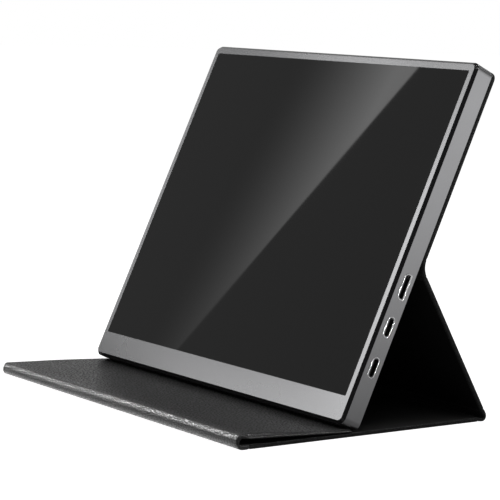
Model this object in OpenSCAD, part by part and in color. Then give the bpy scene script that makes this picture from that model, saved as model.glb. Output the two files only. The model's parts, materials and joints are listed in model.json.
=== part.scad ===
// Portable monitor standing in its folding cover.
// The cover is one strip of four panels: back (glued to the casing), leg, base and flap.
// X runs along the screen, -Y is the side the screen faces, Z is up from the table.

/* [Casing] */
// Width of the flat front face
face_w = 189.2; // [160:0.1:230]
// Height of the flat front face
face_h = 163.6; // [140:0.1:200]
// Width of the polished chamfer round the face
chamfer = 1.3; // [0.6:0.1:1.8]
// Depth of the casing from face to back
casing_t = 10; // [10:0.1:13]
// Corner radius of the casing's outline
corner_r = 3.4; // [2.5:0.1:9]
// Wall of the side frame
frame_wall = 1.5; // [1.2:0.1:2]
// Thickness of the rear housing's plate
housing_t = 1.2; // [0.8:0.1:1.6]
// Lean of the face back from vertical, in degrees
tilt = 24.08; // [18:0.1:30]

/* [Screen] */
// Face strip at the left and right of the glass
margin_side = 2.47; // [2:0.01:6]
// Face strip above the glass
margin_top = 2.88; // [2:0.01:6]
// Face strip below the glass
margin_chin = 10.74; // [8:0.01:18]
// Thickness of the front bezel
bezel_t = 1.0; // [0.8:0.1:1.2]
// Thickness of the LCD cell
cell_t = 1.0; // [0.8:0.1:1.2]
// Thickness of the stack of optical films
films_t = 0.4; // [0.3:0.1:0.6]
// Thickness of the light guide
guide_t = 1.0; // [0.6:0.1:1.2]
// Thickness of the reflector sheet
reflector_t = 0.2; // [0.1:0.1:0.3]
// Thickness of the backlight tray's floor
tray_t = 0.35; // [0.2:0.05:0.4]

/* [Sockets] */
// Length of a USB-C shell's outer rim
usb_l = 9.1; // [8.9:0.1:9.4]
// Height of a USB-C shell's outer rim
usb_h = 3.5; // [3.2:0.1:3.6]
// Length of the mini HDMI shell's outer rim
hdmi_l = 11.5; // [11.2:0.1:12]
// Height of the mini HDMI shell's outer rim
hdmi_h = 3.5; // [3.2:0.1:3.6]
// Metal thickness of the socket shells
shell_t = 0.35; // [0.3:0.05:0.6]
// How far the sockets reach into the casing
socket_depth = 7.4; // [6.5:0.1:9]
// Height of the lower USB-C socket's centre above the face's lower edge
usb_low_v = 26.1; // [22:0.1:28]
// Height of the upper USB-C socket's centre
usb_high_v = 44.5; // [40:0.1:46]
// Height of the mini HDMI socket's centre
hdmi_v = 63; // [60:0.1:66]
// Depth of the socket row behind the face
socket_d = 5.9; // [5.8:0.05:6]
// Radius of the audio socket's bore
audio_r = 1.75; // [1.7:0.01:1.8]
// Length of the audio socket's bore
audio_l = 13; // [12:0.1:15]
// Height of the audio socket above the face's lower edge
audio_v = 24; // [20:0.5:30]

/* [Controls] */
// Height of the power button's centre above the face's lower edge
power_v = 62; // [56:0.5:70]
// Length of the power button
power_l = 8; // [6:0.1:9]
// Travel of the power button
power_travel = 0.4; // [0.2:0.05:0.5]
// Height of the menu rocker's pivot
rocker_v = 44; // [42:0.5:48]
// Length of the menu rocker
rocker_l = 14; // [11:0.1:15]
// How far the controls stand out of the frame
control_proud = 0.6; // [0.5:0.05:0.8]
// Width of the controls across the casing's depth
control_w = 2.8; // [2.2:0.1:3.2]

/* [Cover] */
// Overhang of the cover past each side of the casing
cover_over = 0.4; // [0.2:0.1:2]
// Distance from the front fold to the heel
base_depth = 135.9; // [125:0.1:150]
// Distance from the front fold to the foot of the face
foot_setback = 54.17; // [48:0.1:60]
// Thickness of the leather skin
skin_t = 0.5; // [0.4:0.05:0.7]
// Thickness of the stiffening boards in back, leg and base
board_t = 1.0; // [0.8:0.1:1.3]
// Thickness of the flap's thinner board
flap_board_t = 0.6; // [0.5:0.1:0.8]
// Thickness of the lining
lining_t = 0.3; // [0.2:0.05:0.4]
// Thickness of the adhesive sheet between casing and cover
glue_t = 0.3; // [0.2:0.05:0.4]
// Thickness of the bare leather at the folds
strip_t = 0.8; // [0.6:0.05:0.9]
// Height of the crease above the face's lower edge, along the casing
crease_v = 72.94; // [66:0.1:80]
// Radius of the leather at the crease
crease_r = 8; // [5:0.1:9]
// Radius of the leather at the heel
heel_r = 2.3; // [1.8:0.1:2.8]
// Radius of the leather at the front fold
nose_r = 2.87; // [2.6:0.01:3.2]
// Length of the flap from the front fold's axis
flap_len = 54; // [40:0.1:54.4]
// Corner radius of the cover's free corners
cover_r = 4; // [2:0.1:6]

/* [Hidden] */
$fn = 48;

// Clearances
slip = 0.1;          // fixed pieces that drop into each other
seat = 0.05;         // pieces that rest on each other across a joint
run = 0.15;          // moving controls in their openings
fold_gap = 0.25;     // leg panel to casing back when folded flat
flap_gap = 0.15;     // flap's free edge over the base
eps = 0.5;           // overshoot of a cut

// Casing: x across, y up the face, -z into the casing, origin at the face's lower edge
casing_w = face_w + 2*chamfer;
casing_h = face_h + 2*chamfer;
mid_v = face_h/2;
trim_d = chamfer + 0.1;
glass_w = face_w - 2*margin_side;
glass_h = face_h - margin_top - margin_chin;
glass_v = margin_chin + glass_h/2;
glass_drop = 0.05;
inner_w = casing_w - 2*frame_wall;
inner_h = casing_h - 2*frame_wall;
inner_r = corner_r - frame_wall;

// Depth of each layer's front behind the face
cell_d = bezel_t;
films_d = cell_d + cell_t;
guide_d = films_d + films_t;
reflector_d = guide_d + guide_t;
tray_d = reflector_d + reflector_t;
tray_back = tray_d + tray_t;
housing_d = casing_t - housing_t;
board_pcb_t = 0.8;
board_d = socket_d + usb_h/2;
cell_inset = 1.2;
cell_w = inner_w - 2*cell_inset;
cell_low = 5;
cell_high = face_h - cell_inset;
cell_h = cell_high - cell_low;
cell_v = (cell_low + cell_high)/2;
stack_w = cell_w - 2*tray_t - 2*slip;
led_h = 3;
guide_low = cell_low + tray_t + slip + led_h + slip;
stack_h = cell_high - tray_t - slip - guide_low;
stack_v = guide_low + stack_h/2;

// Cover in its side view, [y, z]
base_t = skin_t + board_t + lining_t;
back_t = glue_t + board_t + skin_t;
flap_t = skin_t + flap_board_t + lining_t;
cover_w = casing_w + 2*cover_over;
heel_out = 0.2;
foot = [
    -base_depth/2 + foot_setback,
    base_t + seat + chamfer*cos(tilt) + casing_t*sin(tilt)
];
up_dir = [sin(tilt), cos(tilt)];
back_dir = [cos(tilt), -sin(tilt)];
crease_d = casing_t + fold_gap + base_t/2;
crease = foot + crease_v*up_dir + crease_d*back_dir;
heel = [base_depth/2 + heel_out, base_t/2];
leg_tilt = atan2(heel.x - crease.x, crease.y - heel.y);
leg_len = norm(crease - heel);
turn = tilt + leg_tilt;
nose = [-base_depth/2 + nose_r, nose_r];
flap_droop = asin((2*nose_r - base_t - flap_gap - flap_t)/flap_len);

// Where the panels end beside each fold
crease_back = casing_t + back_t - crease_d;
crease_up = ((crease_r + base_t/2) - (crease_r + crease_back)*cos(turn))/sin(turn);
crease_down = ((crease_r + crease_back) - (crease_r + base_t/2)*cos(turn))/sin(turn);
back_low = crease_v + crease_up + seat;
back_high = face_h + chamfer;
heel_tangent = (heel_r - base_t/2)/tan((90 - leg_tilt)/2);
heel_tail = 2;
heel_end = heel_tangent + heel_tail;
nose_tail = 3;
hem = 1;             // width of skin beside the boards
overlap = 0.05;      // how far the arms of one bent strip run into its arc

// Display stack details
glass_r = 0.6;
glass_fit = 0.05;
stack_r = 1;
leds = 24;
led_l = 3.2;
led_body = 1.2;
led_strip_t = 0.3;
flex_t = 0.15;
panel_flex_w = 30;
panel_flex_pitch = 60;
panel_flex_shift = -15;
driver_low = 6;
driver_h = 8;
driver_side = 18.2;
driver_w = cell_w - 2*driver_side;
driver_chip = [9, 4, 1];
driver_chip_pitch = 28;

// Sockets and the main board behind them
hdmi_cut = 0.3;      // share of the shell's height that its front corners lose
tongue_t = 0.7;
tongue_in = 1.2;
tongue_side = 1.3;
main_w = 58;
main_low = 17;
main_over = 7.15;    // board above the mini HDMI shell
main_high = hdmi_v + hdmi_l/2 + main_over;
main_x = inner_w/2 - slip - main_w;
board_screw_edge = 3;
board_screw_back = 14;
board_screw_places = [
    for (x = [main_x + board_screw_edge, main_x + main_w - board_screw_back],
            v = [main_low + board_screw_edge, main_high - board_screw_edge]) [x, v]
];
board_screw_head_r = 1.5;
board_screw_head_t = 0.5;
chip_t = 1.2;
chips = [
    // x from the board's edge, height above its lower edge, length, height
    [18, 24, 14, 14], [8, 8, 6, 5], [36, 8, 8, 6], [8, 46, 9, 7], [34, 44, 7, 7]
];
spreader_t = 0.5;
spreader_over = 3;
cable_t = 0.4;
cable_w = 12;
cable_in = 20;
cable_x = main_x + cable_in;
cable_plug_h = 2.5;
cable_lap = 0.5;
cable_tail = 4;

// Screws through the rear housing; the middle pair stands just above the main board
boss_r = 2.4;
boss_clear = 3.4;
screw_r = 0.8;
screw_head_r = 1.6;
screw_head_t = 0.6;
screw_tip = 0.8;
screw_edge = 6;
screw_rows = [screw_edge, main_high + boss_clear + boss_r, face_h - screw_edge];
housing_screw_places = [
    for (sx = [-1, 1], v = screw_rows) [sx*(inner_w/2 - screw_edge), v]
];

// Speakers behind their slots in the rear housing
speaker_side = 32.4; // from the frame's inner wall to a speaker's centre
speaker_x = inner_w/2 - speaker_side;
speaker_l = 26;
speaker_h = 10;
speaker_v = 10.5;
speaker_t = 3;
speaker_rim = 1;
speaker_dish = 0.6;
slots = 5;
slot_w = 1.2;
slot_h = 7;
wire_r = 0.4;
wire_lap = 6;
wire_gap = 2;

// Audio socket on the left side
audio_wall = 0.35;
audio_back = 1;
audio_body_h = 2*(audio_r + audio_wall);
audio_body_w = 6;
audio_d = tray_back + seat + audio_body_h/2;

// Controls on the left side
control_round = 1.2;
control_root = 0.8;
control_back_x = -inner_w/2 + run + control_root;
power_lip = 0.5;     // foot of the power button past its cap, all round
rocker_short = 0.6;
rocker_boss = 0.6;
button_board_t = 0.8;
button_board_in = 4;
button_board_x = -inner_w/2 + button_board_in;
button_board_end = 1;
button_flex_w = 6;
button_flex_lap = 2;
switch_l = 2.5;
switch_w = 2.4;
rocker_end = 1.8;    // from the rocker's end to the middle of a switch
switch_h = button_board_x - control_back_x - power_travel - seat;
rocker_throw = rocker_l/2 - rocker_end;
pin_r = 0.6;
pin_clear = 0.04;
pin_x = control_back_x + 0.35;
cheek_t = 0.3;
cheek_w = 2.4;
cheek_lip = 0.3;

// Magnets that hold the flap against the casing's front when the cover is closed
magnet_v = 96;
casing_magnet = [10, 4];
casing_magnet_x = [30, 60];
flap_magnet_r = 4;
flap_magnet_x = [22, 66];
flap_magnet_in = 12;
glue_border = 4;

module rounded(w, h, r) {
    square([w - 2*r, h], center = true);
    square([w, h - 2*r], center = true);
    for (sx = [-1, 1], sy = [-1, 1])
        translate([sx*(w/2 - r), sy*(h/2 - r)]) circle(r);
}

module round_ended(l, h) {
    square([l - h, h], center = true);
    for (s = [-1, 1]) translate([s*(l - h)/2, 0]) circle(h/2);
}

// A plate on the casing: centre height v, front at depth d, thickness t
module plate(w, h, r, v, d, t) {
    translate([0, v, -d - t]) linear_extrude(t) rounded(w, h, r);
}

// A box on the casing, from its lowest x, lowest v and front depth d
module box(x, v, d, size) {
    translate([x, v, -d - size.z]) cube(size);
}

// Sweeps a profile round a rounded rectangle. Profile x is 0 on the outline and
// negative inside it, profile y is height.
module frame_sweep(w, h, r) {
    for (side = [0, 1]) {
        rotate([0, 0, 180*side]) {
            translate([w/2, h/2 - r, 0]) rotate([90, 0, 0]) linear_extrude(h - 2*r) children();
            translate([-w/2 + r, h/2, 0])
                rotate([90, 0, 90]) linear_extrude(w - 2*r) children();
            translate([w/2 - r, h/2 - r, 0])
                rotate_extrude(angle = 90) translate([r, 0]) children();
            translate([-w/2 + r, h/2 - r, 0])
                rotate([0, 0, 90]) rotate_extrude(angle = 90) translate([r, 0]) children();
        }
    }
}

// From the casing's own frame to its place on the cover
module stand_up() {
    translate([0, foot.x, foot.y]) rotate([90 - tilt, 0, 0]) children();
}

// From the leg's frame, z along the panel from the heel, y out of its outer side
module on_leg() {
    translate([0, heel.x, heel.y]) rotate([leg_tilt, 0, 0]) children();
}

// From the flap's frame, y along the panel from the front fold, z out of its outer side
module on_flap() {
    translate([0, nose.x, nose.y]) rotate([-flap_droop, 0, 0]) children();
}

// ---- Casing shells ----

module front_bezel() {
    color("silver") stand_up() difference() {
        plate(face_w, face_h, corner_r - chamfer, mid_v, 0, bezel_t);
        plate(glass_w, glass_h, glass_r, glass_v, -eps, bezel_t + 2*eps);
    }
}

module edge_trim() {
    color("#151515") stand_up() translate([0, mid_v, 0])
        frame_sweep(casing_w, casing_h, corner_r)
            polygon([[-chamfer, 0], [0, -chamfer], [0, -trim_d], [-chamfer, -trim_d]]);
}

module socket_cut(v) {
    translate([casing_w/2 - frame_wall - eps, v, -socket_d]) rotate([90, 0, 90])
        linear_extrude(frame_wall + 2*eps) children();
}

module side_frame() {
    color("#a8a8ab") stand_up() difference() {
        translate([0, mid_v, 0]) frame_sweep(casing_w, casing_h, corner_r)
            translate([-frame_wall, -casing_t]) square([frame_wall, casing_t - trim_d]);
        socket_cut(usb_low_v) round_ended(usb_l + 2*slip, usb_h + 2*slip);
        socket_cut(usb_high_v) round_ended(usb_l + 2*slip, usb_h + 2*slip);
        socket_cut(hdmi_v) hdmi_outline(hdmi_l + 2*slip, hdmi_h + 2*slip);
        left_wall_cut(power_v, power_l + 2*run, control_w + 2*run);
        left_wall_cut(rocker_v, rocker_l + 2*run, control_w + 2*run);
        translate([-casing_w/2 - eps, audio_v, -audio_d]) rotate([0, 90, 0])
            cylinder(r = audio_r, h = frame_wall + 2*eps);
    }
}

module left_wall_cut(v, l, w) {
    translate([-casing_w/2 - eps, v, -socket_d]) rotate([90, 0, 90])
        linear_extrude(frame_wall + 2*eps) rounded(l, w, control_round);
}

module rear_housing() {
    boss_t = housing_d - tray_back - slip;
    color("#1a1a1b") stand_up() difference() {
        union() {
            plate(inner_w - 2*slip, inner_h - 2*slip, inner_r - slip, mid_v, housing_d, housing_t);
            for (p = housing_screw_places)
                translate([p.x, p.y, -housing_d]) cylinder(r = boss_r, h = boss_t);
        }
        for (p = housing_screw_places) translate([p.x, p.y, -casing_t - eps]) {
            cylinder(r = screw_r, h = casing_t - tray_back - slip - screw_tip);
            cylinder(r = screw_head_r, h = screw_head_t + eps);
        }
        for (side = [-1, 1], i = [0 : slots - 1])
            translate([side*(speaker_x - speaker_l/2 + speaker_l*(i + 0.5)/slots), speaker_v,
                -casing_t - eps])
                linear_extrude(housing_t + 2*eps) rotate(90) round_ended(slot_h, slot_w);
    }
}

module housing_screws() {
    color("dimgray") stand_up() for (p = housing_screw_places)
        translate([p.x, p.y, -casing_t]) {
            cylinder(r = screw_head_r - slip, h = screw_head_t);
            cylinder(r = screw_r, h = casing_t - tray_back - slip - screw_tip - eps);
        }
}

// ---- Display stack ----

module cover_glass() {
    color("#202022") stand_up() plate(
        glass_w - 2*glass_fit, glass_h - 2*glass_fit, glass_r - glass_fit, glass_v,
        glass_drop, bezel_t - glass_drop
    );
}

module lcd_cell() {
    color("#2b2b30") stand_up() plate(cell_w, cell_h, stack_r, cell_v, cell_d, cell_t);
}

module optical_films() {
    color("white") stand_up() plate(stack_w, stack_h, stack_r, stack_v, films_d, films_t);
}

module light_guide() {
    color("azure") stand_up() plate(stack_w, stack_h, stack_r, stack_v, guide_d, guide_t);
}

module led_bar() {
    pitch = stack_w/leds;
    color("khaki") stand_up() union() {
        box(-stack_w/2, guide_low - slip - led_h, reflector_d - led_strip_t,
            [stack_w, led_h, led_strip_t]);
        for (i = [0 : leds - 1])
            box(-stack_w/2 + pitch*(i + 0.5) - led_l/2, guide_low - slip - led_body, guide_d,
                [led_l, led_body, guide_t - led_strip_t]);
    }
}

module reflector_sheet() {
    color("whitesmoke") stand_up()
        plate(stack_w, stack_h, stack_r, stack_v, reflector_d, reflector_t);
}

module backlight_tray() {
    color("lightsteelblue") stand_up() difference() {
        plate(cell_w, cell_h, stack_r, cell_v, films_d, tray_back - films_d);
        box(-stack_w/2 - slip, cell_low + tray_t, films_d - eps,
            [stack_w + 2*slip, cell_h - 2*tray_t, tray_d - films_d + eps]);
    }
}

module panel_driver_board() {
    color("darkgreen") stand_up() union() {
        box(-driver_w/2, driver_low, tray_back, [driver_w, driver_h, board_pcb_t]);
        for (i = [-1.5 : 1.5])
            box(i*driver_chip_pitch - driver_chip.x/2, driver_low + (driver_h - driver_chip.y)/2,
                tray_back + board_pcb_t, driver_chip);
    }
}

// Folds from the edge of the LCD cell round the tray to the driver board
module panel_flex() {
    color("chocolate") stand_up() for (i = [-0.5, 0.5]) {
        x = i*panel_flex_pitch + panel_flex_shift/2 - panel_flex_w/2;
        box(x, cell_low - flex_t, cell_d, [panel_flex_w, flex_t, tray_back - cell_d + flex_t]);
        box(x, cell_low, tray_back, [panel_flex_w, driver_low - cell_low, flex_t]);
    }
}

// ---- Main board ----

module main_board() {
    color("green") stand_up() difference() {
        box(main_x, main_low, board_d, [main_w, main_high - main_low, board_pcb_t]);
        for (p = board_screw_places)
            translate([p.x, p.y, -board_d - board_pcb_t - eps])
                cylinder(r = screw_r, h = board_pcb_t + 2*eps);
    }
}

module board_chips() {
    color("#101010") stand_up() for (c = chips)
        box(main_x + c[0], main_low + c[1], board_d - chip_t, [c[2], c[3], chip_t]);
}

module heat_spreader() {
    over = spreader_over;
    c = chips[0];
    color("silver") stand_up() box(main_x + c[0] - over, main_low + c[1] - over,
        board_d - chip_t - spreader_t, [c[2] + 2*over, c[3] + 2*over, spreader_t]);
}

module board_screws() {
    color("gray") stand_up() for (p = board_screw_places)
        translate([p.x, p.y, -housing_d]) {
            cylinder(r = screw_r - seat, h = housing_d - board_d + seat);
            translate([0, 0, housing_d - board_d])
                cylinder(r = board_screw_head_r, h = board_screw_head_t);
        }
}

module display_cable() {
    plug_high = driver_low + driver_h + cable_lap;
    back = tray_back + board_pcb_t;
    color("dimgray") stand_up() union() {
        box(cable_x, plug_high - cable_plug_h, back, [cable_w, cable_plug_h, 1]);
        box(cable_x, plug_high, back, [cable_w, main_low - plug_high + cable_t, cable_t]);
        box(cable_x, main_low, back, [cable_w, cable_t, board_d - back]);
        box(cable_x, main_low, board_d - cable_t, [cable_w, cable_tail, cable_t]);
    }
}

// ---- Sockets on the right side ----

// Wide towards the casing's back, with its front corners cut
module hdmi_outline(l, h) {
    cut = hdmi_cut*h;
    polygon([
        [-l/2, -h/2], [l/2, -h/2], [l/2, h/2 - cut], [l/2 - cut, h/2],
        [-l/2 + cut, h/2], [-l/2, h/2 - cut]
    ]);
}

module socket_shell(v) {
    translate([casing_w/2 - socket_depth, v, -socket_d]) rotate([90, 0, 90]) {
        linear_extrude(socket_depth) difference() {
            children(0);
            children(1);
        }
        linear_extrude(shell_t) children(0);
    }
}

module usb_socket(v) {
    color("gainsboro") stand_up() socket_shell(v) {
        round_ended(usb_l, usb_h);
        round_ended(usb_l - 2*shell_t, usb_h - 2*shell_t);
    }
}

module usb_c_socket_lower() usb_socket(usb_low_v);
module usb_c_socket_upper() usb_socket(usb_high_v);

module mini_hdmi_socket() {
    color("gainsboro") stand_up() socket_shell(hdmi_v) {
        hdmi_outline(hdmi_l, hdmi_h);
        hdmi_outline(hdmi_l - 2*shell_t, hdmi_h - 2*shell_t);
    }
}

module socket_tongues() {
    tongue_l = socket_depth - shell_t - tongue_in;
    color("#0c0c0c") stand_up() {
        for (s = [[usb_low_v, usb_l], [usb_high_v, usb_l], [hdmi_v, hdmi_l]])
            box(casing_w/2 - socket_depth + shell_t, s[0] - s[1]/2 + tongue_side,
                socket_d - tongue_t/2, [tongue_l, s[1] - 2*tongue_side, tongue_t]);
    }
}

// ---- Left side ----

module audio_socket() {
    body_l = audio_l + audio_back;
    x0 = -inner_w/2 + slip;
    color("#0e0e0e") stand_up() difference() {
        translate([x0, audio_v - audio_body_w/2, -audio_d - audio_body_h/2])
            cube([body_l, audio_body_w, audio_body_h]);
        translate([x0 - eps, audio_v, -audio_d]) rotate([0, 90, 0])
            cylinder(r = audio_r, h = audio_l - frame_wall - slip + eps);
    }
}

// Stands across the casing's depth behind the two controls
module button_board() {
    v0 = rocker_v - rocker_l/2 - button_board_end;
    v1 = power_v + power_l/2 + button_board_end;
    color("green") stand_up()
        translate([button_board_x, v0, -housing_d])
            cube([button_board_t, v1 - v0, housing_d - tray_back - slip]);
}

module tact_switches() {
    color("black") stand_up()
        for (v = [power_v, rocker_v - rocker_throw, rocker_v + rocker_throw])
            translate([button_board_x - switch_h, v - switch_l/2, -socket_d - switch_w/2])
                cube([switch_h, switch_l, switch_w]);
}

module button_flex() {
    x0 = button_board_x + button_board_t;
    color("chocolate") stand_up()
        box(x0, (rocker_v + power_v)/2 - button_flex_w/2, housing_d - flex_t,
            [main_x - x0 + button_flex_lap, button_flex_w, flex_t]);
}

// Cap outside, wider foot inside that the frame's wall holds back
module power_button() {
    foot_l = power_l + 2*power_lip;
    foot_w = control_w + 2*power_lip;
    color("#8f8f92") stand_up() union() {
        translate([-casing_w/2 - control_proud, power_v, -socket_d]) rotate([90, 0, 90])
            linear_extrude(control_proud + frame_wall + run)
                rounded(power_l, control_w, control_round - run);
        translate([-inner_w/2 + run, power_v - foot_l/2, -socket_d - foot_w/2])
            cube([control_root, foot_l, foot_w]);
    }
}

// Rocks about a pin that runs across the casing's depth
module menu_rocker() {
    color("#8f8f92") stand_up() difference() {
        union() {
            translate([-casing_w/2 - control_proud, rocker_v, -socket_d]) rotate([90, 0, 90])
                linear_extrude(control_proud + frame_wall + run + control_root)
                    rounded(rocker_l - rocker_short, control_w, control_round - run);
            translate([pin_x, rocker_v, -socket_d - control_w/2])
                cylinder(r = pin_r + rocker_boss, h = control_w);
        }
        translate([pin_x, rocker_v, -socket_d - control_w/2 - eps])
            cylinder(r = pin_r + pin_clear, h = control_w + 2*eps);
    }
}

// The pin and the two brackets that stand on the rear housing and the board
module rocker_pin() {
    lip = pin_r + cheek_lip;
    front_d = socket_d - control_w/2 - run - cheek_t;
    color("gray") stand_up() union() {
        translate([pin_x, rocker_v, -housing_d]) cylinder(r = pin_r, h = housing_d - front_d);
        for (d = [front_d, socket_d + control_w/2 + run])
            translate([pin_x - lip, rocker_v - cheek_w/2, -d - cheek_t])
                cube([button_board_x - pin_x + lip, cheek_w, cheek_t]);
    }
}

module speaker(side) {
    x = side*speaker_x - speaker_l/2;
    v = speaker_v - speaker_h/2;
    rim = speaker_rim;
    color("#202020") stand_up() difference() {
        box(x, v, housing_d - speaker_t, [speaker_l, speaker_h, speaker_t]);
        box(x + rim, v + rim, housing_d - speaker_dish,
            [speaker_l - 2*rim, speaker_h - 2*rim, speaker_dish + eps]);
    }
}

module speaker_left() speaker(-1);
module speaker_right() speaker(1);

module speaker_wires() {
    run_v = speaker_v + speaker_h/2 + wire_r;
    z = -housing_d + wire_r;
    left_end = main_x + wire_lap;
    right_start = left_end + wire_gap;
    color("firebrick") stand_up() {
        translate([-speaker_x, run_v, z]) rotate([0, 90, 0])
            cylinder(r = wire_r, h = left_end + speaker_x, $fn = 24);
        translate([right_start, run_v, z]) rotate([0, 90, 0])
            cylinder(r = wire_r, h = speaker_x - right_start, $fn = 24);
    }
}

module casing_magnets() {
    color("silver") stand_up() for (s = [-1, 1], x = casing_magnet_x)
        box(s*x - casing_magnet.x/2, magnet_v, tray_back,
            [casing_magnet.x, casing_magnet.y, housing_d - tray_back]);
}

// ---- Cover: back panel, glued to the casing ----

module adhesive_sheet() {
    h = back_high - back_low - 2*glue_border;
    color("gray") stand_up() plate(
        casing_w - 2*glue_border, h, stack_r, (back_high + back_low)/2, casing_t, glue_t
    );
}

module back_outline(inset) {
    w = cover_w - 2*inset;
    h = back_high - back_low - 2*inset;
    r = corner_r + cover_over - inset;
    translate([0, (back_high + back_low)/2]) {
        translate([-w/2, -h/2]) square([w, h - r]);
        translate([-w/2 + r, -h/2]) square([w - 2*r, h]);
        for (s = [-1, 1]) translate([s*(w/2 - r), h/2 - r]) circle(r);
    }
}

module back_panel_skin() {
    color("#1c1c1e") stand_up() difference() {
        translate([0, 0, -casing_t - back_t]) linear_extrude(back_t - glue_t) back_outline(0);
        translate([0, 0, -casing_t - glue_t - board_t]) linear_extrude(board_t + eps)
            back_outline(hem);
    }
}

module back_panel_board() {
    color("tan") stand_up() translate([0, 0, -casing_t - glue_t - board_t])
        linear_extrude(board_t) back_outline(hem);
}

// ---- Cover: flat panels from [y0, y1], outer side down at z = 0 ----

module panel_skin(y0, y1, board, inner, r = 0) {
    difference() {
        panel_shape(y0, y1, skin_t + board + inner, 0, r);
        translate([0, 0, skin_t]) panel_shape(y0, y1, board + inner + eps, hem, r);
    }
}

module panel_board(y0, y1, board, r = 0) {
    translate([0, 0, skin_t]) panel_shape(y0, y1, board, hem, r);
}

module panel_lining(y0, y1, board, inner, r = 0) {
    translate([0, 0, skin_t + board]) panel_shape(y0, y1, inner, hem, r);
}

// A plate with its two far corners rounded where r is above 0
module panel_shape(y0, y1, t, inset, r) {
    w = cover_w - 2*inset;
    far = y1 - inset;
    near = y0 + inset;
    linear_extrude(t) union() {
        translate([-w/2, near]) square([w, far - near - max(r - inset, 0)]);
        if (r > inset) {
            translate([-w/2 + r - inset, near]) square([w - 2*(r - inset), far - near]);
            for (s = [-1, 1])
                translate([s*(w/2 - r + inset), far - r + inset]) circle(r - inset);
        }
    }
}

base_y = [nose.x + nose_tail, heel.x - heel_end];

module base_panel_skin() {
    color("#1c1c1e") panel_skin(base_y[0], base_y[1], board_t, lining_t);
}

module base_panel_board() {
    color("tan") panel_board(base_y[0], base_y[1], board_t);
}

module base_panel_lining() {
    color("#141416") panel_lining(base_y[0], base_y[1], board_t, lining_t);
}

leg_y = [heel_end + seat, leg_len - crease_down];

// Turns a flat panel so that it stands on the leg's frame, outer side to +y
module leg_flat() {
    on_leg() translate([0, base_t/2, 0]) rotate([90, 0, 0]) children();
}

module leg_panel_skin() {
    color("#1c1c1e") leg_flat() panel_skin(leg_y[0], leg_y[1], board_t, lining_t);
}

module leg_panel_board() {
    color("tan") leg_flat() panel_board(leg_y[0], leg_y[1], board_t);
}

module leg_panel_lining() {
    color("#141416") leg_flat() panel_lining(leg_y[0], leg_y[1], board_t, lining_t);
}

flap_y = [nose_tail + seat, flap_len];

// Turns a flat panel over, outer side up on the flap
module flap_flat() {
    on_flap() translate([0, 0, nose_r]) mirror([0, 0, 1]) children();
}

module flap_panel_skin() {
    color("#1c1c1e") flap_flat()
        panel_skin(flap_y[0], flap_y[1], flap_board_t, lining_t, cover_r);
}

flap_magnet_places = [
    for (s = [-1, 1], x = flap_magnet_x) [s*x, flap_len - flap_magnet_in]
];

module flap_panel_board() {
    color("tan") flap_flat() difference() {
        panel_board(flap_y[0], flap_y[1], flap_board_t, cover_r);
        for (p = flap_magnet_places) translate([p.x, p.y, skin_t - eps])
            cylinder(r = flap_magnet_r + slip, h = flap_board_t + 2*eps);
    }
}

module flap_magnets() {
    color("silver") flap_flat() for (p = flap_magnet_places)
        translate([p.x, p.y, skin_t]) cylinder(r = flap_magnet_r, h = flap_board_t);
}

module flap_panel_lining() {
    color("#141416") flap_flat()
        panel_lining(flap_y[0], flap_y[1], flap_board_t, lining_t, cover_r);
}

// ---- Cover: the bare leather at the folds, drawn in side view and run across ----

// Extrudes a side view, drawn as x = model y and y = model z, across the cover
module across() {
    translate([-cover_w/2, 0, 0]) rotate([90, 0, 90]) linear_extrude(cover_w) children();
}

// Ring sector from angle a0 to a1
module sector(r_out, r_in, a0, a1) {
    reach = 2*r_out;
    steps = 4;
    intersection() {
        difference() {
            circle(r_out);
            circle(r_in);
        }
        polygon([
            [0, 0],
            for (i = [0 : steps]) reach*[cos(a0 + (a1 - a0)*i/steps), sin(a0 + (a1 - a0)*i/steps)]
        ]);
    }
}

module crease_strip() {
    centre = crease + crease_up*up_dir + (crease_r + crease_back)*back_dir;
    color("#1c1c1e") across() translate(centre)
        sector(crease_r + strip_t, crease_r, 180 - tilt, 180 + leg_tilt);
}

module heel_strip() {
    base_tail = heel.x - heel_tangent;
    color("#1c1c1e") across() {
        translate([base_tail, heel_r]) sector(heel_r, heel_r - strip_t, -90, leg_tilt);
        translate([base_y[1], 0]) square([heel_tail + overlap, strip_t]);
        translate(heel) rotate(leg_tilt)
            translate([base_t/2 - strip_t, heel_tangent - overlap])
                square([strip_t, heel_tail + overlap]);
    }
}

module nose_strip() {
    color("#1c1c1e") across() {
        translate(nose) sector(nose_r, nose_r - strip_t, 90 - flap_droop, 270);
        translate([nose.x - overlap, 0]) square([nose_tail + overlap, strip_t]);
        translate(nose) rotate(-flap_droop) translate([-overlap, nose_r - strip_t])
            square([nose_tail + overlap, strip_t]);
    }
}

front_bezel();
edge_trim();
side_frame();
rear_housing();
housing_screws();
cover_glass();
lcd_cell();
optical_films();
light_guide();
led_bar();
reflector_sheet();
backlight_tray();
panel_driver_board();
panel_flex();
main_board();
board_chips();
heat_spreader();
board_screws();
display_cable();
usb_c_socket_lower();
usb_c_socket_upper();
mini_hdmi_socket();
socket_tongues();
audio_socket();
speaker_left();
speaker_right();
speaker_wires();
button_board();
tact_switches();
button_flex();
power_button();
menu_rocker();
rocker_pin();
casing_magnets();
adhesive_sheet();
back_panel_skin();
back_panel_board();
leg_panel_skin();
leg_panel_board();
leg_panel_lining();
base_panel_skin();
base_panel_board();
base_panel_lining();
flap_panel_skin();
flap_panel_board();
flap_panel_lining();
flap_magnets();
crease_strip();
heel_strip();
nose_strip();
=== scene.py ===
import json
import math

import bpy
import numpy as np
from mathutils import Matrix, Vector


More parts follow.
